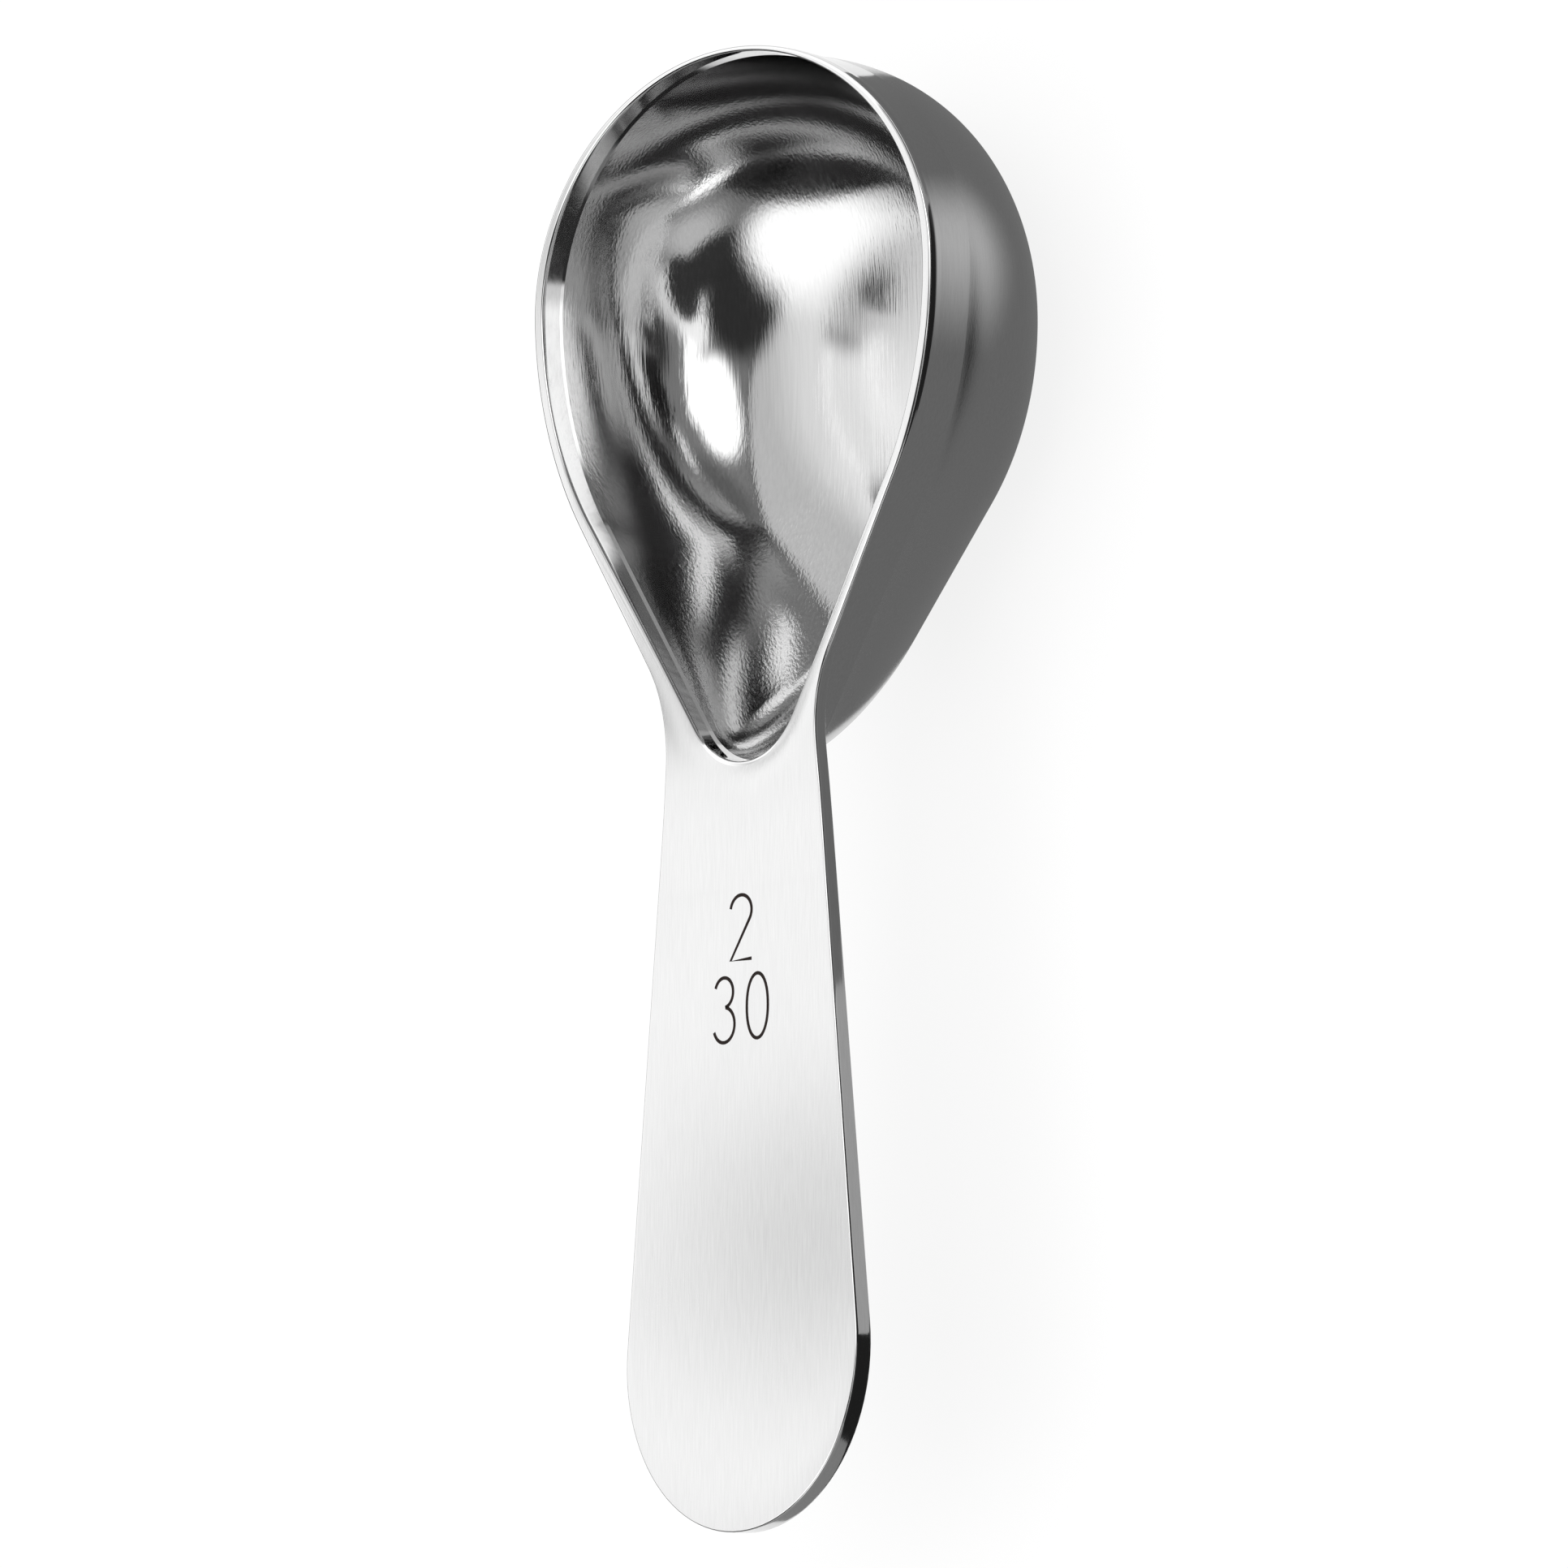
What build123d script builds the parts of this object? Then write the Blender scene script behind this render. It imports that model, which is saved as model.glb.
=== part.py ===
from build123d import *

import math
import os

# A two tablespoon measuring spoon: a drawn teardrop bowl under a heavy handle plate.
# The plate is one blank. It is the handle and, past the neck, the narrow rim that runs round the
# bowl's mouth. The bowl stands face to face against the rim's underside, where it is welded on and
# dressed flush, so that outside the two read as one wall.
# Millimetres. +Y runs along the spoon to the bowl's far end, +Z is up, and the origin is the centre
# of the small flat under the bowl.

os.makedirs("parts", exist_ok=True)

# The outline of the rim and of the mouth in it, a teardrop with its nose towards the handle
mouth_half_width = 24.5
mouth_front = 19.75
mouth_rear = 39.3
widest_y = 11.0
nose_share = 0.31
flank_share = 0.785

# How wide the rim is beside the mouth, past its far end and where it runs into the neck, and how far
# the wall under it stands out from the mouth's nose
lip_side = 1.05
lip_tip = 0.45
lip_neck = 1.5
wall_nose = 0.5
rim_thickness = 1.35
edge_chamfer = 0.2

# Where the handle's top rolls down into the mouth's nose
roll_length = 1.5
roll_drop = 0.5

# The handle, which rises and thickens a little from the neck to its round end
neck_half_width = 9.6
neck_radius = 13.3
end_radius = 14.75
handle_length = 64.1
handle_rise = 1.8
end_thickness = 1.9
bend_radius = 90.0
bend_before_nose = 4.0

# The bowl: its depth, the polished strip inside the rim with the fine step under it, and the flare
# outside, which widens the wall to the rim's own outline
bowl_depth = 20.0
floor_thickness = 1.2
strip_height = 2.1
step_width = 0.2
flare_height = 3.4
flare_width = 0.45

# The small flat under the bowl, and how far its widest line lies behind the mouth's
base_half_width = 6.8
base_front = 6.7
base_rear = 17.8
base_back = 4.4

# How the wall curves in at the side, the far end and the nose: 2 is an ellipse, 1 a straight ramp
outer_powers = (2.3, 2.25, 1.34)
inner_powers = (2.4, 2.2, 1.28)
section_count = 9

overrun = 2.0

rim_z = bowl_depth
seam_z = rim_z - rim_thickness
strip_z = rim_z - strip_height
flare_z = seam_z - flare_height
nose_y = widest_y - mouth_rear


def unit(start, end):
    """The direction from one point to another, and the distance."""
    run, rise = end[0] - start[0], end[1] - start[1]
    length = math.hypot(run, rise)
    return (run / length, rise / length), length


def touching_line(centre_a, radius_a, centre_b, radius_b):
    """Where one straight line touches two circles on their right. A negative radius lies across the line."""
    along, length = unit(centre_a, centre_b)
    lean = (radius_a - radius_b) / length
    lift = math.sqrt(1 - lean**2)
    normal = (lean * along[0] - lift * along[1], lean * along[1] + lift * along[0])
    return [
        (centre[0] + radius * normal[0], centre[1] + radius * normal[1])
        for centre, radius in ((centre_a, radius_a), (centre_b, radius_b))
    ]


def arc(centre, radius, start, end):
    """The shorter arc about a centre between two points on its circle."""
    middle = ((start[0] + end[0]) / 2, (start[1] + end[1]) / 2)
    out, _ = unit(centre, middle)
    return ThreePointArc(start, (centre[0] + radius * out[0], centre[1] + radius * out[1]), end)


def flank_circle(half_width, rear, outset):
    """The long arc down the teardrop's side, level with its widest line at the top."""
    flank = flank_share * rear
    return (half_width - flank, widest_y), flank + outset


def front_curve(half_width, front):
    """The right half of the teardrop's front, a quarter of an ellipse."""
    return EllipticalCenterArc((0, widest_y), half_width, front, arc_size=90)


def teardrop(half_width, front, rear, outsets=(0, 0, 0), back=0):
    """A teardrop face on its widest line, grown at its side, tip and nose, and moved towards the handle."""
    side_out, tip_out, nose_out = outsets
    flank_centre, flank = flank_circle(half_width, rear, side_out)
    nose = nose_share * half_width
    nose_centre = (0, widest_y - rear + nose)
    side, low = touching_line(flank_centre, flank, nose_centre, nose + nose_out)
    with BuildSketch(Plane.XY) as face:
        with BuildLine():
            front_curve(half_width + side_out, front + tip_out)
            arc(flank_centre, flank, (half_width + side_out, widest_y), side)
            Line(side, low)
            arc(nose_centre, nose + nose_out, low, (0, nose_centre[1] - nose - nose_out))
            mirror(about=Plane.YZ)
        make_face()
    return Pos(0, -back, 0) * face.sketch


def mouth(outsets=(0, 0, 0), longer=0):
    """The mouth's teardrop, grown by the outsets or drawn out at its nose."""
    return teardrop(mouth_half_width, mouth_front, mouth_rear + longer, outsets)


def taper(depth_share, power):
    """How much of the way in the wall still has to go, at a share of its depth."""
    return max(0, 1 - depth_share**power) ** (1 / power)


def wall_section(depth_share, powers, outsets):
    """The teardrop at a share of the way down from the wall's top to the flat."""
    side, front, rear = (taper(depth_share, power) for power in powers)
    half_width = base_half_width + (mouth_half_width - base_half_width) * side
    back = base_back * depth_share
    tip_y = (base_front - base_back) + (mouth_front - base_front + base_back) * front
    heel_y = (base_rear + base_back) + (mouth_rear - base_rear - base_back) * rear
    return teardrop(half_width, tip_y + back, heel_y - back, [out * side for out in outsets], back)


def depth_shares():
    """Shares of the depth, closer together towards the flat, where the wall turns in fastest."""
    return [1 - (1 - i / (section_count - 1)) ** 2 for i in range(section_count)]


wall_top = (lip_side, lip_tip, wall_nose)
flare_foot = [width - flare_width for width in wall_top]
step = [-step_width] * 3

# What the spoon measures when it is struck off level with its rim
with BuildPart() as contents:
    for depth_share in depth_shares():
        with BuildSketch(Plane.XY.offset(strip_z + (floor_thickness - strip_z) * depth_share)):
            add(wall_section(depth_share, inner_powers, step))
    loft()
    with BuildSketch(Plane.XY.offset(strip_z)):
        add(mouth())
    extrude(amount=strip_height)
    for roll_share in (0, 1 / 2, 1):
        with BuildSketch(Plane.XY.offset(rim_z - roll_drop * (1 - roll_share) ** 2)):
            add(mouth(longer=roll_length * roll_share))
    loft()

print(f"struck capacity {contents.part.volume / 1000:.2f} ml")

with BuildPart() as bowl:
    for depth_share in depth_shares():
        with BuildSketch(Plane.XY.offset(flare_z * (1 - depth_share))):
            add(wall_section(depth_share, outer_powers, flare_foot))
    loft()
    with BuildSketch(Plane.XY.offset(flare_z)):
        add(mouth(flare_foot))
    with BuildSketch(Plane.XY.offset(seam_z)):
        add(mouth(wall_top))
    loft(ruled=True)
    add(contents.part, mode=Mode.SUBTRACT)
bowl.part.label = "bowl"
export_step(bowl.part, "parts/bowl.step")


def plate_outline():
    """The whole blank: the rim round the mouth, the neck's hollow sides, the tapering handle and its end."""
    flank_centre, flank = flank_circle(mouth_half_width, mouth_rear, lip_side)
    nose = nose_share * mouth_half_width
    flank_low, neck_side = touching_line(flank_centre, flank, (0, nose_y + nose), nose + lip_neck)
    down, _ = unit(flank_low, neck_side)
    neck_x = neck_half_width + neck_radius
    neck_y = flank_low[1] + ((neck_x - flank_low[0]) * down[1] + neck_radius) / down[0]
    neck_centre = (neck_x, neck_y)
    neck_high = (neck_x + neck_radius * down[1], neck_y - neck_radius * down[0])
    end_centre = (0, nose_y - handle_length + end_radius)
    neck_low, end_high = touching_line(neck_centre, -neck_radius, end_centre, end_radius)
    widest = (mouth_half_width + lip_side, widest_y)
    with BuildSketch(Plane.XY) as face:
        with BuildLine():
            front_curve(mouth_half_width + lip_side, mouth_front + lip_tip)
            arc(flank_centre, flank, widest, flank_low)
            Line(flank_low, neck_high)
            arc(neck_centre, neck_radius, neck_high, neck_low)
            Line(neck_low, end_high)
            arc(end_centre, end_radius, end_high, (0, end_centre[1] - end_radius))
            mirror(about=Plane.YZ)
        make_face()
    return face.sketch


with BuildPart() as handle_plate:
    bend_y = nose_y - bend_before_nose
    end_y = nose_y - handle_length - overrun
    far_y = widest_y + mouth_front + lip_tip + overrun
    end_z = rim_z + handle_rise
    with BuildSketch(Plane.YZ):
        with BuildLine():
            FilletPolyline((far_y, rim_z), (bend_y, rim_z), (end_y, end_z), radius=bend_radius)
            Line((end_y, end_z), (end_y, end_z - end_thickness))
            FilletPolyline(
                (end_y, end_z - end_thickness), (bend_y, seam_z), (far_y, seam_z), radius=bend_radius
            )
            Line((far_y, seam_z), (far_y, rim_z))
        make_face()
    extrude(amount=mouth_half_width + lip_side + overrun, both=True)
    with BuildSketch(Plane.XY):
        add(plate_outline())
    extrude(amount=end_z + overrun, mode=Mode.INTERSECT)
    top_faces = handle_plate.faces().filter_by(lambda face: face.normal_at().Z > 0.5)
    chamfer(top_faces.edges().filter_by(Axis.X, reverse=True), length=edge_chamfer)
    add(contents.part, mode=Mode.SUBTRACT)
handle_plate.part.label = "handle_plate"
export_step(handle_plate.part, "parts/handle_plate.step")
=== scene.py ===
import math

import bpy
import numpy as np
from mathutils import Matrix, Vector


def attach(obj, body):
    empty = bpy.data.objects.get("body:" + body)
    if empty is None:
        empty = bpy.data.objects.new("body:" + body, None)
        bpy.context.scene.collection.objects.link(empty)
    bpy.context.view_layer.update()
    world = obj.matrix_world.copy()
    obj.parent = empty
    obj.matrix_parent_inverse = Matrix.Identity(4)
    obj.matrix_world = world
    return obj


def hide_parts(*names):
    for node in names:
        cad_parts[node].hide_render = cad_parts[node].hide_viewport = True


# A two tablespoon measuring spoon in brushed steel. Both of its pieces are remeshed here, finely and
# with rounded edges, from the same outline as the solids that they replace. Lengths are millimetres
# until a mesh is made, and everything sits in the frame's own axes: +Y towards the bowl's far end,
# +Z up, and the origin under the bowl.

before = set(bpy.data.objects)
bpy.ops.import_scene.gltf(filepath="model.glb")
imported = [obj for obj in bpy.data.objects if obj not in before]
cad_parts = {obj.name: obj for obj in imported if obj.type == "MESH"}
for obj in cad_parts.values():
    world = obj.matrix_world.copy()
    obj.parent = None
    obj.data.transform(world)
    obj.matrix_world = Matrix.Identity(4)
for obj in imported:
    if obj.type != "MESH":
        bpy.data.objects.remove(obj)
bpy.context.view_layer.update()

MILLIMETRE = 0.001

# The outline of the rim and of the mouth in it
mouth_half_width = 24.5
mouth_front = 19.75
mouth_rear = 39.3
widest_y = 11.0
nose_share = 0.31
flank_share = 0.785

lip_side = 1.05
lip_tip = 0.45
lip_neck = 1.5
wall_nose = 0.5
rim_thickness = 1.35

# The handle
neck_half_width = 9.6
neck_radius = 13.3
end_radius = 14.75
handle_length = 64.1
handle_rise = 1.8
end_thickness = 1.9
bend_radius = 90.0
bend_before_nose = 4.0
handle_run_past_end = 2.0

# The bowl
bowl_depth = 20.0
floor_thickness = 1.2
strip_height = 2.1
step_width = 0.2
flare_height = 3.4
flare_width = 0.45
base_half_width = 6.8
base_front = 6.7
base_rear = 17.8
base_back = 4.4
outer_powers = (2.3, 2.25, 1.34)
inner_powers = (2.4, 2.2, 1.28)

# Softened edges, which the solids leave sharp
lip_inner_round = 0.2
rim_outer_round = 0.25
rim_edge_depth = 0.75
dressed_in = 0.1
handle_top_round = 0.14
handle_edge_round = 0.3
flare_power = 1.25
neck_ease_length = 12.0
edge_round_past_nose = 8.0
sharp_angle = math.radians(35)

# The roll of the plate's top into the mouth's nose, which fades out up the sides of the mouth
roll_width = 3.0
roll_drop = 0.42
roll_power = 2.5
roll_end_clearance = 6.0

# How finely the outline is divided: its front, its long side, the straight towards the nose, and
# the nose with the handle's half of the outline beside it
front_count = 44
flank_count = 40
straight_count = 16
nose_counts = (14, 16, 26)

# How many rings each stretch of the bowl and the plate has, and how they crowd towards an edge
wall_rings = 56
flare_rings = 12
strip_rings = 4
mouth_side_rings = 5
plate_rings = 34
round_rings = 6
middle_ring_shares = (0.3, 0.6, 0.85)
side_ring_shares = (1 / 3, 2 / 3, 1)
foot_ring_shares = (1 / 4, 1 / 2, 3 / 4)
crowding_power = 1.6

rim_z = bowl_depth
seam_z = rim_z - rim_thickness
strip_z = rim_z - strip_height
flare_z = seam_z - flare_height
nose_y = widest_y - mouth_rear
bend_y = nose_y - bend_before_nose
slope_end_y = nose_y - handle_length - handle_run_past_end


# Outlines


def unit(start, end):
    run, rise = end[0] - start[0], end[1] - start[1]
    length = math.hypot(run, rise)
    return (run / length, rise / length), length


def touching_line(centre_a, radius_a, centre_b, radius_b):
    """Where a straight line touches two circles on their right, or across it for a negative radius."""
    along, length = unit(centre_a, centre_b)
    lean = (radius_a - radius_b) / length
    lift = math.sqrt(1 - lean**2)
    normal = (lean * along[0] - lift * along[1], lean * along[1] + lift * along[0])
    return [
        (centre[0] + radius * normal[0], centre[1] + radius * normal[1])
        for centre, radius in ((centre_a, radius_a), (centre_b, radius_b))
    ]


def arc_points(centre, start, end, count):
    """Points along the shorter arc from start, which is in, to end, which is left out."""
    radius = math.hypot(start[0] - centre[0], start[1] - centre[1])
    first = math.atan2(start[1] - centre[1], start[0] - centre[0])
    last = math.atan2(end[1] - centre[1], end[0] - centre[0])
    sweep = (last - first + math.pi) % (2 * math.pi) - math.pi
    angle = first + sweep * np.arange(count) / count
    return np.stack([centre[0] + radius * np.cos(angle), centre[1] + radius * np.sin(angle)], 1)


def line_points(start, end, count):
    share = np.arange(count)[:, None] / count
    return np.array(start) * (1 - share) + np.array(end) * share


def front_points(half_width, front):
    """The right half of the teardrop's front, a quarter of an ellipse, from its tip."""
    turn = math.pi / 2 * np.arange(front_count) / front_count
    return np.stack([half_width * np.sin(turn), widest_y + front * np.cos(turn)], 1)


def whole(right_half, last):
    """The closed outline from its right half, which starts at the tip and stops before the last point."""
    right_half = np.array(right_half)
    left_half = right_half[1:][::-1] * (-1, 1)
    return np.concatenate([right_half, [last], left_half])


def teardrop(half_width, front, rear, outsets=(0, 0, 0), back=0):
    """A teardrop on its widest line, grown at its side, tip and nose, and moved towards the handle."""
    side_out, tip_out, nose_out = outsets
    flank = flank_share * rear + side_out
    flank_centre = (half_width - flank_share * rear, widest_y)
    nose = nose_share * half_width
    nose_centre = (0, widest_y - rear + nose)
    side, low = touching_line(flank_centre, flank, nose_centre, nose + nose_out)
    last = (0, nose_centre[1] - nose - nose_out)
    right_half = [
        front_points(half_width + side_out, front + tip_out),
        arc_points(flank_centre, (half_width + side_out, widest_y), side, flank_count),
        line_points(side, low, straight_count),
        arc_points(nose_centre, low, last, sum(nose_counts)),
    ]
    return whole(np.concatenate(right_half), last) - (0, back)


def mouth(outsets=(0, 0, 0)):
    return teardrop(mouth_half_width, mouth_front, mouth_rear, outsets)


def plate_outline():
    """The whole blank, point for point beside the mouth's outline, with the handle opposite the nose."""
    flank = flank_share * mouth_rear + lip_side
    flank_centre = (mouth_half_width - flank_share * mouth_rear, widest_y)
    nose = nose_share * mouth_half_width
    flank_low, neck_side = touching_line(flank_centre, flank, (0, nose_y + nose), nose + lip_neck)
    down, _ = unit(flank_low, neck_side)
    neck_x = neck_half_width + neck_radius
    neck_y = flank_low[1] + ((neck_x - flank_low[0]) * down[1] + neck_radius) / down[0]
    neck_centre = (neck_x, neck_y)
    neck_high = (neck_x + neck_radius * down[1], neck_y - neck_radius * down[0])
    end_centre = (0, nose_y - handle_length + end_radius)
    neck_low, end_high = touching_line(neck_centre, -neck_radius, end_centre, end_radius)
    widest = (mouth_half_width + lip_side, widest_y)
    last = (0, end_centre[1] - end_radius)
    right_half = [
        front_points(mouth_half_width + lip_side, mouth_front + lip_tip),
        arc_points(flank_centre, widest, flank_low, flank_count),
        line_points(flank_low, neck_high, straight_count),
        arc_points(neck_centre, neck_high, neck_low, nose_counts[0]),
        line_points(neck_low, end_high, nose_counts[1]),
        arc_points(end_centre, end_high, last, nose_counts[2]),
    ]
    return whole(np.concatenate(right_half), last)


def outward(outline):
    """The unit normal at each point of a closed outline that runs clockwise."""
    along = np.roll(outline, -1, 0) - np.roll(outline, 1, 0)
    normal = np.stack([-along[:, 1], along[:, 0]], 1)
    return normal / np.linalg.norm(normal, axis=1)[:, None]


# The bowl's walls


def taper(depth_share, power):
    return max(0, 1 - depth_share**power) ** (1 / power)


def wall_section(depth_share, powers, outsets):
    """The teardrop at a share of the way down from the wall's top to the flat."""
    side, front, rear = (taper(depth_share, power) for power in powers)
    half_width = base_half_width + (mouth_half_width - base_half_width) * side
    back = base_back * depth_share
    tip_y = (base_front - base_back) + (mouth_front - base_front + base_back) * front
    heel_y = (base_rear + base_back) + (mouth_rear - base_rear - base_back) * rear
    return teardrop(half_width, tip_y + back, heel_y - back, [out * side for out in outsets], back)


def ring(outline, height):
    """An outline at a height, or at one height for each of its points."""
    return np.concatenate([outline, np.broadcast_to(height, (len(outline),))[:, None]], 1)


def wall(top, bottom, powers, outsets):
    """Rings down a wall, closer together towards the flat."""
    rings = []
    for i in range(wall_rings + 1):
        depth_share = 1 - (1 - i / wall_rings) ** 2
        rings.append(ring(wall_section(depth_share, powers, outsets), top + (bottom - top) * depth_share))
    return rings


def shrunk(flat_ring, share):
    middle = flat_ring.mean(0)
    return middle + (flat_ring - middle) * share


# Meshes


def mesh_of_rings(name, rings, finishes, closed_on_itself=False):
    """A mesh of quads between rings of equal length, with a material index for each band between rings."""
    count = len(rings[0])
    points = np.concatenate(rings)
    around = np.arange(count)
    beside = (around + 1) % count
    bands = len(rings) if closed_on_itself else len(rings) - 1
    faces, indices = [], []
    for band in range(bands):
        this, next_ring = band * count, (band + 1) % len(rings) * count
        quads = [this + around, this + beside, next_ring + beside, next_ring + around]
        faces += np.stack(quads, 1).tolist()
        indices += [finishes[band]] * count
    if not closed_on_itself:
        ends = np.array([rings[0].mean(0), rings[-1].mean(0)])
        first, last = len(points), len(points) + 1
        points = np.concatenate([points, ends])
        start = (len(rings) - 1) * count
        faces += np.stack([np.full(count, first), beside, around], 1).tolist()
        faces += np.stack([np.full(count, last), start + around, start + beside], 1).tolist()
        indices += [finishes[0]] * count + [finishes[-1]] * count
    mesh = bpy.data.meshes.new(name)
    mesh.from_pydata((points * MILLIMETRE).tolist(), [], faces)
    mesh.polygons.foreach_set("material_index", indices)
    mesh.polygons.foreach_set("use_smooth", [True] * len(faces))
    mesh.update()
    return mesh


def piece_of(name, mesh, materials, node):
    """The object of a mesh, which rides with the spoon and stands for a node of the frame."""
    for material in materials:
        mesh.materials.append(material)
    piece = bpy.data.objects.new(name, mesh)
    bpy.context.scene.collection.objects.link(piece)
    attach(piece, "root")
    if node:
        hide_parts(node)
    return piece


SATIN, POLISHED, BRUSHED, DRESSED = range(4)


def bowl_mesh():
    """From under the base up the outside, over the seam, down the strip and the inside to the floor."""
    wall_top = (lip_side, lip_tip, wall_nose)
    flare_foot = [width - flare_width for width in wall_top]
    outside = wall(flare_z, 0, outer_powers, flare_foot)[::-1]
    rings = [shrunk(outside[0], share) for share in middle_ring_shares] + outside
    finishes = [SATIN] * (len(rings) - 1) + [DRESSED]
    for i in range(1, flare_rings + 1):
        rise = i / flare_rings
        spread = (flare_width - dressed_in) * rise**flare_power
        out = [foot + spread for foot in flare_foot]
        rings.append(ring(mouth(out), flare_z + flare_height * rise))
        finishes.append(DRESSED)
    rings.append(ring(mouth(), seam_z))
    finishes.append(POLISHED)
    strip_share = np.linspace(0, 1, strip_rings + 1)[1:]
    rings += [ring(mouth(), seam_z + (strip_z - seam_z) * share) for share in strip_share]
    finishes += [POLISHED] * strip_rings
    inside = wall(strip_z, floor_thickness, inner_powers, [-step_width] * 3)
    inside += [shrunk(inside[-1], share) for share in middle_ring_shares[::-1]]
    rings += inside
    finishes += [BRUSHED] * len(inside)
    mesh = mesh_of_rings("bowl_shell", rings, finishes)
    mesh.set_sharp_from_angle(angle=sharp_angle)
    return mesh


def plate_rise(y):
    """How far the plate's top stands above the rim's plane: level to the bend, then a steady climb."""
    slope = handle_rise / (bend_y - slope_end_y)
    reach = bend_radius * math.tan(math.atan(slope) / 2)
    past = bend_y - y
    bend = (past + reach) ** 2 / (2 * bend_radius)
    return np.where(past < -reach, 0, np.where(past < reach, bend, slope * past))


def plate_depth(y):
    """How thick the plate is."""
    share = np.clip((bend_y - y) / (bend_y - slope_end_y), 0, 1)
    return rim_thickness + (end_thickness - rim_thickness) * share


def away_from(outline, points):
    """Each point's distance from a closed outline, and which of its points is the nearest."""
    start, end = outline, np.roll(outline, -1, 0)
    run = end - start
    share = ((points[:, None] - start) * run).sum(2) / (run**2).sum(1)
    foot = start + np.clip(share, 0, 1)[:, :, None] * run
    distance = np.linalg.norm(points[:, None] - foot, axis=2)
    nearest = distance.argmin(1)
    return distance[np.arange(len(points)), nearest], nearest


def roll_weights(outline):
    """1 round the nose, easing to 0 up the sides of the mouth."""
    fade_start = widest_y - roll_end_clearance
    fade_end = nose_y + roll_end_clearance
    share = np.clip((fade_start - outline[:, 1]) / (fade_start - fade_end), 0, 1)
    return share**2 * (3 - 2 * share)


def plate_top(outline_ring, mouth_outline):
    """The height of the plate's top over points in plan, rolled down into the mouth's nose."""
    distance, nearest = away_from(mouth_outline, outline_ring)
    weight = roll_weights(mouth_outline)[nearest]
    least_width = 1e-6
    width = np.maximum(roll_width * weight, least_width)
    drop = roll_drop * weight * np.clip(1 - distance / width, 0, 1) ** roll_power
    return rim_z + plate_rise(outline_ring[:, 1]) - drop


def plate_mesh():
    """Rings up the mouth's side, over the lip, out across the top, round the edge and back underneath."""
    inner, outer = mouth(), plate_outline()
    inner_out, outer_out = outward(inner), outward(outer)
    past_neck = np.clip((nose_y + neck_ease_length - outer[:, 1]) / neck_ease_length, 0, 1)
    outer_round = rim_outer_round + (handle_top_round - rim_outer_round) * past_neck
    foot_in = dressed_in * (1 - past_neck)
    rings, finishes = [], []

    def add(plan, height, finish):
        rings.append(ring(plan, height))
        finishes.append(finish)

    lip_top = plate_top(inner, inner)
    for share in np.linspace(0, 1, mouth_side_rings + 1)[:-1]:
        add(inner, seam_z + (lip_top - lip_inner_round - seam_z) * share, POLISHED)
    for i in range(round_rings + 1):
        turn = math.pi / 2 * i / round_rings
        plan = inner + inner_out * lip_inner_round * (1 - math.cos(turn))
        height = plate_top(plan, inner) - lip_inner_round * (1 - math.sin(turn))
        add(plan, height, POLISHED)
    lip_start = inner + inner_out * lip_inner_round
    lip_end = outer - outer_out * outer_round[:, None]
    for i in range(1, plate_rings):
        share = (i / plate_rings) ** crowding_power
        plan = lip_start * (1 - share) + lip_end * share
        add(plan, plate_top(plan, inner), SATIN)
    for i in range(round_rings + 1):
        turn = math.pi / 2 * i / round_rings
        plan = lip_end + outer_out * outer_round[:, None] * math.sin(turn)
        height = plate_top(plan, inner) - outer_round * (1 - math.cos(turn))
        add(plan, height, POLISHED)
    under = rim_z + plate_rise(outer[:, 1]) - plate_depth(outer[:, 1])
    under_round = np.where(outer[:, 1] < nose_y + edge_round_past_nose, handle_edge_round, 0)
    side_top = plate_top(outer, inner) - outer_round
    side_foot = under + under_round
    knee = np.maximum(plate_top(outer, inner) - rim_edge_depth, side_foot)
    for share in side_ring_shares:
        add(outer, side_top + (knee - side_top) * share, DRESSED)
    for share in foot_ring_shares:
        add(outer - outer_out * (foot_in * share)[:, None], knee + (side_foot - knee) * share, DRESSED)
    for i in range(round_rings + 1):
        turn = math.pi / 2 * i / round_rings
        plan = outer - outer_out * (foot_in + under_round * (1 - math.cos(turn)))[:, None]
        add(plan, under + under_round * (1 - math.sin(turn)), SATIN)
    under_start = outer - outer_out * (foot_in + under_round)[:, None]
    for i in range(1, plate_rings + 1):
        share = 1 - (1 - i / plate_rings) ** crowding_power
        plan = under_start * (1 - share) + inner * share
        add(plan, rim_z + plate_rise(plan[:, 1]) - plate_depth(plan[:, 1]), SATIN)
    mesh = mesh_of_rings("plate_skin", rings[:-1], finishes[:-1], closed_on_itself=True)
    mesh.set_sharp_from_angle(angle=sharp_angle)
    return mesh


# The capacity numbers: plain strokes of its own, one line's width throughout

stroke_width = 0.30
stroke_lift = 0.012
figure_height = 5.4
figure_width = 2.7
figure_gap = 1.5
upper_foot_y = -44.9
lower_foot_y = -51.6


def two():
    """A two in a box one wide and one high: a bow, a straight down to the left and a foot."""
    turn = np.radians(np.linspace(170, -38, 26))
    bow = np.stack([0.5 + 0.5 * np.cos(turn), 0.76 + 0.24 * np.sin(turn)], 1)
    return [np.concatenate([bow, [(0, 0), (1, 0)]])]


def three():
    """A three in the same box: a smaller bow over a larger one."""
    upper = np.radians(np.linspace(160, -80, 24))
    lower = np.radians(np.linspace(80, -160, 26))
    top = np.stack([0.47 + 0.43 * np.cos(upper), 0.77 + 0.23 * np.sin(upper)], 1)
    foot = np.stack([0.47 + 0.5 * np.cos(lower), 0.27 + 0.27 * np.sin(lower)], 1)
    return [np.concatenate([top, foot])]


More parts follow.
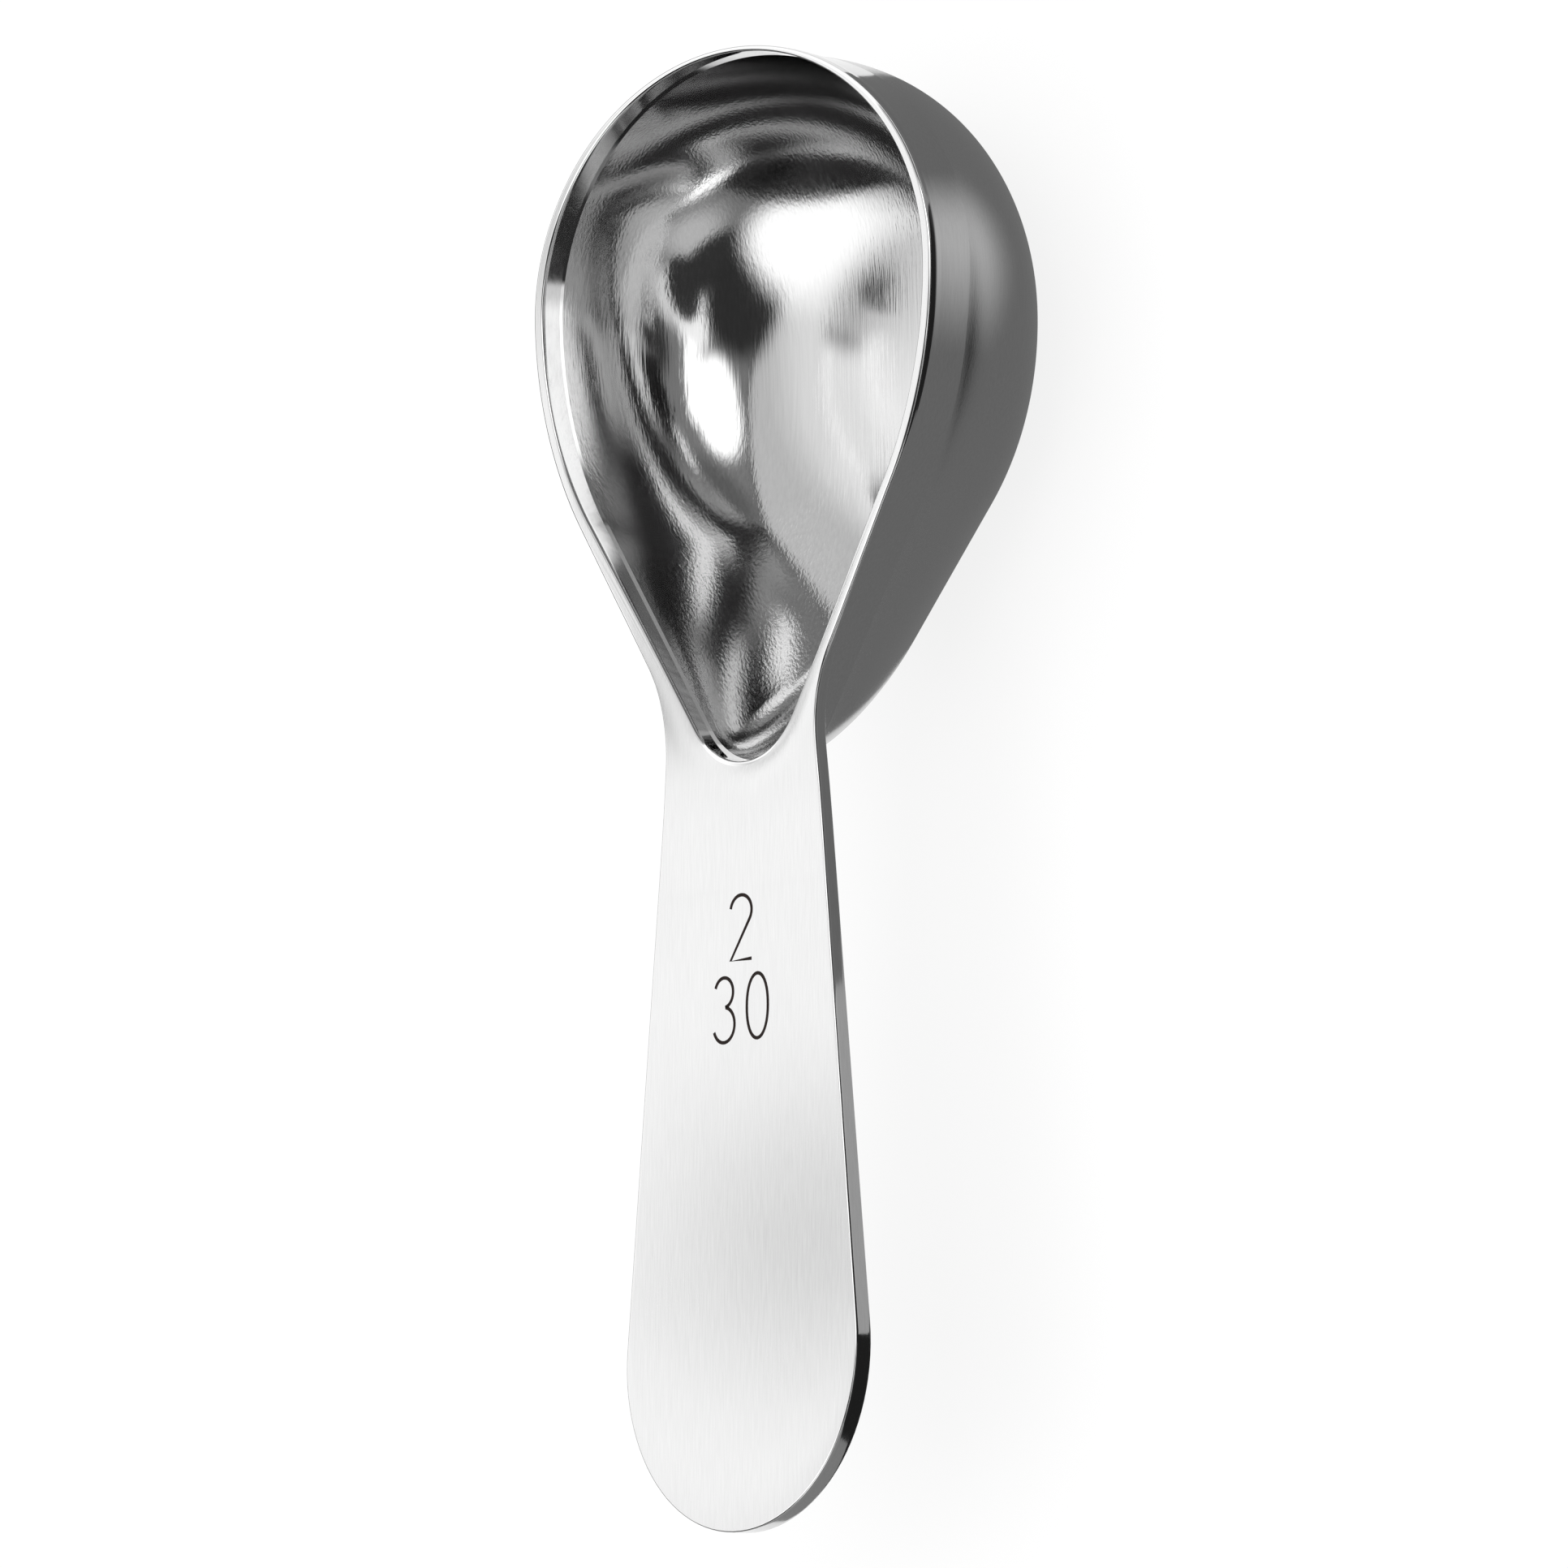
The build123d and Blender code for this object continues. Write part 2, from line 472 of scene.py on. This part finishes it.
def nought():
    """A nought in the same box: an oval with slightly full shoulders."""
    fullness_power = 0.9
    turn = np.radians(np.linspace(0, 360, 49))
    side, rise = np.cos(turn), np.sin(turn)
    return [np.stack([0.5 + 0.5 * side, 0.5 + 0.5 * np.sign(rise) * np.abs(rise) ** fullness_power], 1)]


def stroke_ribbon(line):
    """The two edges of a flat stroke along a line of points in plan."""
    along = np.gradient(line, axis=0)
    along /= np.linalg.norm(along, axis=1)[:, None]
    across = np.stack([-along[:, 1], along[:, 0]], 1) * stroke_width / 2
    return line + across, line - across


def number_mesh():
    points, faces = [], []
    rows = [([two], upper_foot_y), ([three, nought], lower_foot_y)]
    for figures, foot_y in rows:
        row_width = len(figures) * figure_width + (len(figures) - 1) * figure_gap
        for place, figure in enumerate(figures):
            left = place * (figure_width + figure_gap) - row_width / 2
            for stroke in figure():
                line = stroke * (figure_width, figure_height) + (left, foot_y)
                left_edge, right_edge = stroke_ribbon(line)
                start = len(points)
                for a, b in zip(left_edge, right_edge):
                    points += [a, b]
                firsts = range(start, start + 2 * len(line) - 2, 2)
                faces += [(first, first + 1, first + 3, first + 2) for first in firsts]
    plan = np.array(points)
    height = rim_z + plate_rise(plan[:, 1]) + stroke_lift
    mesh = bpy.data.meshes.new("capacity_numbers")
    mesh.from_pydata((ring(plan, height) * MILLIMETRE).tolist(), [], faces)
    mesh.update()
    return mesh


# Materials

# How long a brushed line is beside its width, how many soft clouds there are to a millimetre, and
# how far the lines lighten and darken the steel
line_length_share = 0.035
clouds_per_millimetre = 0.12
dark_line_share = 0.96
light_line_share = 1.03
ink_grains_per_millimetre = 6.0


def new_material(name):
    material = bpy.data.materials.new(name)
    material.use_nodes = True
    nodes, links = material.node_tree.nodes, material.node_tree.links
    return material, nodes, links, nodes["Principled BSDF"]


def steel(name, base, roughness, roughness_swing, brush, brush_bump, anisotropic):
    """Steel with fine lines along the spoon: brush is how many there are to a millimetre across it."""
    material, nodes, links, shader = new_material(name)
    shader.inputs["Metallic"].default_value = 1.0
    shader.inputs["Anisotropic"].default_value = anisotropic
    shader.inputs["Anisotropic Rotation"].default_value = 0.25
    place = nodes.new("ShaderNodeTexCoord")
    stretch = nodes.new("ShaderNodeMapping")
    across, along = brush / MILLIMETRE, line_length_share * brush / MILLIMETRE
    stretch.inputs["Scale"].default_value = (across, along, across)
    links.new(place.outputs["Object"], stretch.inputs["Vector"])
    lines = nodes.new("ShaderNodeTexNoise")
    lines.inputs["Scale"].default_value = 1.0
    lines.inputs["Detail"].default_value = 3.0
    links.new(stretch.outputs["Vector"], lines.inputs["Vector"])
    cloud = nodes.new("ShaderNodeTexNoise")
    cloud.inputs["Scale"].default_value = clouds_per_millimetre / MILLIMETRE
    links.new(place.outputs["Object"], cloud.inputs["Vector"])
    blend = nodes.new("ShaderNodeMath")
    blend.operation = "ADD"
    links.new(lines.outputs["Fac"], blend.inputs[0])
    links.new(cloud.outputs["Fac"], blend.inputs[1])
    rough = nodes.new("ShaderNodeMapRange")
    rough.inputs["From Min"].default_value = 0.6
    rough.inputs["From Max"].default_value = 1.4
    rough.inputs["To Min"].default_value = roughness - roughness_swing
    rough.inputs["To Max"].default_value = roughness + roughness_swing
    links.new(blend.outputs[0], rough.inputs["Value"])
    links.new(rough.outputs["Result"], shader.inputs["Roughness"])
    tone = nodes.new("ShaderNodeMapRange")
    tone.inputs["From Min"].default_value = 0.3
    tone.inputs["From Max"].default_value = 0.7
    tone.inputs["To Min"].default_value = base * dark_line_share
    tone.inputs["To Max"].default_value = base * light_line_share
    links.new(lines.outputs["Fac"], tone.inputs["Value"])
    colour = nodes.new("ShaderNodeCombineColor")
    for channel in ("Red", "Green", "Blue"):
        links.new(tone.outputs["Result"], colour.inputs[channel])
    links.new(colour.outputs["Color"], shader.inputs["Base Color"])
    bump = nodes.new("ShaderNodeBump")
    bump.inputs["Strength"].default_value = 1.0
    bump.inputs["Distance"].default_value = brush_bump * MILLIMETRE
    links.new(lines.outputs["Fac"], bump.inputs["Height"])
    links.new(bump.outputs["Normal"], shader.inputs["Normal"])
    tangent = nodes.new("ShaderNodeTangent")
    tangent.direction_type = "RADIAL"
    tangent.axis = "Y"
    links.new(tangent.outputs["Tangent"], shader.inputs["Tangent"])
    return material


def mark_ink():
    """The burnt dark brown of a laser mark."""
    material, nodes, links, shader = new_material("laser_mark")
    shader.inputs["Roughness"].default_value = 0.8
    shader.inputs["Specular IOR Level"].default_value = 0.1
    grain = nodes.new("ShaderNodeTexNoise")
    grain.inputs["Scale"].default_value = ink_grains_per_millimetre / MILLIMETRE
    ramp = nodes.new("ShaderNodeValToRGB")
    ramp.color_ramp.elements[0].color = (0.006, 0.005, 0.004, 1)
    ramp.color_ramp.elements[1].color = (0.028, 0.020, 0.018, 1)
    place = nodes.new("ShaderNodeTexCoord")
    links.new(place.outputs["Object"], grain.inputs["Vector"])
    links.new(grain.outputs["Fac"], ramp.inputs["Fac"])
    links.new(ramp.outputs["Color"], shader.inputs["Base Color"])
    return material


satin = steel("satin_steel", 0.61, 0.24, 0.04, 9.0, 0.0045, 0.2)
polished = steel("polished_edge", 0.66, 0.05, 0.02, 12.0, 0.0001, 0.0)
brushed = steel("brushed_inside", 0.55, 0.09, 0.04, 4.5, 0.0090, 0.5)
dressed = steel("dressed_band", 0.60, 0.09, 0.03, 6.0, 0.0010, 0.3)
finishes_used = (satin, polished, brushed, dressed)

bowl = piece_of("bowl_shell", bowl_mesh(), finishes_used, "bowl")
plate = piece_of("handle_and_rim", plate_mesh(), finishes_used, "handle_plate")
numbers = piece_of("capacity_numbers", number_mesh(), [mark_ink()], None)


# The floor, the lights and the camera


paper_tone = 0.9
backlit_share = 0.85
floor_reach = 4.0
lamp_size = 2.4
lamp_power = 32.0
lamp_place = (0.3, 0.2, 2.2)


def level_rectangle(name, half_wide, half_deep, material):
    """A level mesh of one face round its own middle, in metres."""
    mesh = bpy.data.meshes.new(name)
    corners = [(-half_wide, -half_deep, 0), (half_wide, -half_deep, 0)]
    corners += [(half_wide, half_deep, 0), (-half_wide, half_deep, 0)]
    mesh.from_pydata(corners, [], [(0, 1, 2, 3)])
    mesh.materials.append(material)
    return mesh


def floor():
    """White paper, lit from under as well, so that it keeps only a trace of the spoon's shadow."""
    material, nodes, links, shader = new_material("pale_floor")
    shader.inputs["Base Color"].default_value = (paper_tone, paper_tone, paper_tone, 1)
    shader.inputs["Roughness"].default_value = 0.9
    shader.inputs["Specular IOR Level"].default_value = 0
    light_path = nodes.new("ShaderNodeLightPath")
    seen = light_path.outputs["Is Camera Ray"]
    for way in ("Is Glossy Ray", "Is Transmission Ray"):
        either = nodes.new("ShaderNodeMath")
        either.operation = "MAXIMUM"
        links.new(seen, either.inputs[0])
        links.new(light_path.outputs[way], either.inputs[1])
        seen = either.outputs[0]
    paper_share = nodes.new("ShaderNodeMath")
    paper_share.operation = "MULTIPLY"
    paper_share.inputs[1].default_value = backlit_share
    links.new(seen, paper_share.inputs[0])
    backlight = nodes.new("ShaderNodeEmission")
    blend = nodes.new("ShaderNodeMixShader")
    links.new(paper_share.outputs[0], blend.inputs["Fac"])
    links.new(shader.outputs["BSDF"], blend.inputs[1])
    links.new(backlight.outputs["Emission"], blend.inputs[2])
    links.new(blend.outputs["Shader"], nodes["Material Output"].inputs["Surface"])
    plane = bpy.data.objects.new("floor", level_rectangle("floor", floor_reach, floor_reach, material))
    bpy.context.scene.collection.objects.link(plane)


# What the steel mirrors, as patches of a round map of the sky with the zenith at its middle, the
# horizon at a distance of 1, and +X and +Y along the map's own axes. Each patch has its middle, its
# two half widths, its turn in degrees, how soft its edge is, and its light. Later ones lie on top.
sky_light = 0.30
sky_patches = (
    ((-0.35, 0.35), (0.52, 0.56), 0, 0.02, 0.08),
    ((-0.35, 0.35), (0.50, 0.54), 0, 0.03, 0.85),
    ((-0.50, 0.05), (0.34, 0.30), 0, 0.60, 1.25),
    ((0.34, 0.68), (0.26, 0.13), -15, 0.40, 0.18),
    ((0.66, -0.30), (0.12, 0.18), 0, 0.40, 1.10),
    ((0.40, -0.60), (0.20, 0.12), 0, 0.60, 0.80),
    ((0.53, -0.14), (0.12, 0.18), 0, 0.35, 1.60),
    ((0.31, -0.40), (0.24, 0.13), 5, 0.25, 0.05),
    ((0.14, -0.17), (0.28, 0.21), 0, 0.25, 0.045),
    ((0.39, 0.25), (0.18, 0.22), 0, 0.25, 2.40),
    ((0.57, 0.17), (0.07, 0.20), 0, 0.30, 2.60),
    ((0.98, 0.00), (0.22, 0.30), 0, 0.20, 0.04),
    ((1.02, -0.05), (0.15, 0.70), 0, 0.20, 0.03),
    ((-0.40, 0.63), (0.80, 0.27), 58, 0.10, 1.55),
    ((-1.05, -0.02), (0.30, 0.28), 0, 0.15, 0.06),
    ((-0.21, -0.26), (0.34, 0.17), -32, 0.35, 1.90),
    ((-0.45, -0.80), (0.75, 0.45), -35, 0.06, 0.03),
    ((0.17, -0.90), (0.34, 0.11), 0, 0.30, 2.40),
    ((0.56, -0.33), (0.12, 0.19), 0, 0.12, 0.05),
)


def patch_mask(nodes, links, place, middle, half_widths, turn, softness):
    """1 inside an ellipse on a map, easing to 0 across its edge."""
    patch = nodes.new("ShaderNodeMapping")
    patch.vector_type = "TEXTURE"
    patch.inputs["Location"].default_value = (*middle, 0)
    patch.inputs["Rotation"].default_value = (0, 0, math.radians(turn))
    patch.inputs["Scale"].default_value = (*half_widths, 1)
    links.new(place, patch.inputs["Vector"])
    reach = nodes.new("ShaderNodeVectorMath")
    reach.operation = "LENGTH"
    links.new(patch.outputs["Vector"], reach.inputs[0])
    mask = nodes.new("ShaderNodeMapRange")
    mask.interpolation_type = "SMOOTHSTEP"
    mask.inputs["From Min"].default_value = 1 - softness
    mask.inputs["From Max"].default_value = 1 + softness
    mask.inputs["To Min"].default_value = 1
    mask.inputs["To Max"].default_value = 0
    links.new(reach.outputs["Value"], mask.inputs["Value"])
    return mask.outputs["Result"]


def studio_sky():
    world = bpy.data.worlds.new("studio")
    world.use_nodes = True
    nodes, links = world.node_tree.nodes, world.node_tree.links
    direction = nodes.new("ShaderNodeTexCoord").outputs["Generated"]

    def vector_math(operation, *values):
        node = nodes.new("ShaderNodeVectorMath")
        node.operation = operation
        for socket, value in zip(node.inputs, values):
            if isinstance(value, tuple):
                socket.default_value = value
            else:
                links.new(value, socket)
        return node

    parts = nodes.new("ShaderNodeSeparateXYZ")
    links.new(direction, parts.inputs[0])
    from_zenith = nodes.new("ShaderNodeMath")
    from_zenith.operation = "ARCCOSINE"
    links.new(parts.outputs["Z"], from_zenith.inputs[0])
    distance = nodes.new("ShaderNodeMath")
    distance.operation = "DIVIDE"
    distance.inputs[1].default_value = math.pi / 2
    links.new(from_zenith.outputs[0], distance.inputs[0])
    level = vector_math("MULTIPLY", direction, (1, 1, 0)).outputs["Vector"]
    towards = vector_math("NORMALIZE", level).outputs["Vector"]
    place = nodes.new("ShaderNodeVectorMath")
    place.operation = "SCALE"
    links.new(towards, place.inputs[0])
    links.new(distance.outputs[0], place.inputs["Scale"])

    light = None
    for middle, half_widths, turn, softness, strength in sky_patches:
        mask = patch_mask(nodes, links, place.outputs["Vector"], middle, half_widths, turn, softness)
        over = nodes.new("ShaderNodeMix")
        over.inputs["A"].default_value = sky_light
        if light:
            links.new(light, over.inputs["A"])
        over.inputs["B"].default_value = strength
        links.new(mask, over.inputs["Factor"])
        light = over.outputs["Result"]
    links.new(light, nodes["Background"].inputs["Strength"])
    nodes["Background"].inputs["Color"].default_value = (1, 1, 1, 1)
    bpy.context.scene.world = world


def floor_lamp():
    """A broad overhead lamp for the floor, which the steel doesn't mirror."""
    lamp_data = bpy.data.lights.new("floor_lamp", "AREA")
    lamp_data.size = lamp_size
    lamp_data.energy = lamp_power
    lamp = bpy.data.objects.new("floor_lamp", lamp_data)
    lamp.location = lamp_place
    lamp.visible_glossy = False
    bpy.context.scene.collection.objects.link(lamp)


# The cards stand in for what a studio has round a shiny thing. Lengths are millimetres.
flag_height = 0.3
hung_softness = 0.9


def place_card(name, half_widths, place, material):
    """A level card, seen only in the steel."""
    wide, deep = (width * MILLIMETRE for width in half_widths)
    card = bpy.data.objects.new(name, level_rectangle(name, wide, deep, material))
    card.location = Vector(place) * MILLIMETRE
    card.visible_camera = False
    card.visible_diffuse = False
    card.visible_shadow = False
    card.visible_transmission = False
    bpy.context.scene.collection.objects.link(card)


def floor_flag(name, middle, half_widths, tone):
    """A plain card on the floor."""
    material, nodes, links, shader = new_material(name)
    shader.inputs["Base Color"].default_value = (0, 0, 0, 1)
    shader.inputs["Specular IOR Level"].default_value = 0
    shader.inputs["Emission Color"].default_value = (1, 1, 1, 1)
    shader.inputs["Emission Strength"].default_value = tone
    place_card(name, half_widths, (*middle, flag_height), material)


def hung_card(name, place, half_widths, density, tone):
    """A card hung beside the spoon, which fades out from its middle and is clear at its edge."""
    material, nodes, links, shader = new_material(name)
    reach = [width * MILLIMETRE for width in half_widths]
    own_place = nodes.new("ShaderNodeTexCoord").outputs["Object"]
    mask = patch_mask(nodes, links, own_place, (0, 0), reach, 0, hung_softness)
    veil = nodes.new("ShaderNodeMath")
    veil.operation = "MULTIPLY"
    veil.inputs[1].default_value = density
    links.new(mask, veil.inputs[0])
    clear = nodes.new("ShaderNodeBsdfTransparent")
    lit = nodes.new("ShaderNodeEmission")
    lit.inputs["Strength"].default_value = tone
    blend = nodes.new("ShaderNodeMixShader")
    links.new(veil.outputs[0], blend.inputs["Fac"])
    links.new(clear.outputs["BSDF"], blend.inputs[1])
    links.new(lit.outputs["Emission"], blend.inputs[2])
    links.new(blend.outputs["Shader"], nodes["Material Output"].inputs["Surface"])
    place_card(name, [width * (1 + hung_softness) for width in half_widths], place, material)


floor()
studio_sky()
floor_lamp()

# Each floor card has its middle, its two half widths and its tone
floor_flag("near_flag", (20.5, 22), (20.5, 62), 0.20)
floor_flag("side_flag", (80.5, -21.5), (39.5, 51.5), 0.02)
floor_flag("front_card", (80.5, 57), (39.5, 27), 0.35)
floor_flag("far_flag", (360, -85), (240, 215), 0.02)
floor_flag("edge_card", (20.5, -56.5), (20.5, 16.5), 0.50)
floor_flag("end_flag", (40, -90), (40, 17), 0.02)
floor_flag("end_card", (10, -140), (70, 33), 0.30)
floor_flag("left_flag", (-325, -20), (277, 130), 0.03)

# Each hung card has its middle, its two half widths, how dense it is and its tone
hung_card("handle_shade", (-31, -61, 56), (18, 10), 0.32, 0)
hung_card("bowl_shade", (-49, 24, 41), (9, 9), 0.38, 0)
hung_card("neck_shade", (-24, -19, 32), (4.5, 4.5), 0.6, 0)
hung_card("band_light", (31, 15, 8), (4, 8), 0.9, 0.7)

# The photograph's view of the spoon: the camera's own axes in the frame, the point of the spoon at
# the middle of the picture, and how much of it the picture takes in
view_right = Vector((0.6428, -0.0214, -0.7657))
view_up = Vector((0.104, 0.9928, 0.0595))
view_back = view_right.cross(view_up).normalized()
view_up = view_back.cross(view_right).normalized()
view_anchor = Vector((0, -28.51, rim_z))
view_shift_right = 3.62
view_shift_up = -1.74
view_middle = view_anchor + view_shift_right * view_right + view_shift_up * view_up
picture_width = 129.6
camera_distance = 2400.0
camera_reach = 20.0
sensor_width = 36.0

camera_data = bpy.data.cameras.new("camera")
camera_data.sensor_width = sensor_width
camera_data.lens = sensor_width * camera_distance / picture_width
camera_data.clip_end = camera_reach
camera = bpy.data.objects.new("camera", camera_data)
bpy.context.scene.collection.objects.link(camera)
camera_axes = Matrix((view_right.normalized(), view_up, view_back)).transposed()
camera_place = (view_middle + view_back * camera_distance) * MILLIMETRE
camera.matrix_world = Matrix.Translation(camera_place) @ camera_axes.to_4x4()
bpy.context.scene.camera = camera
bpy.context.scene.view_settings.view_transform = "Standard"
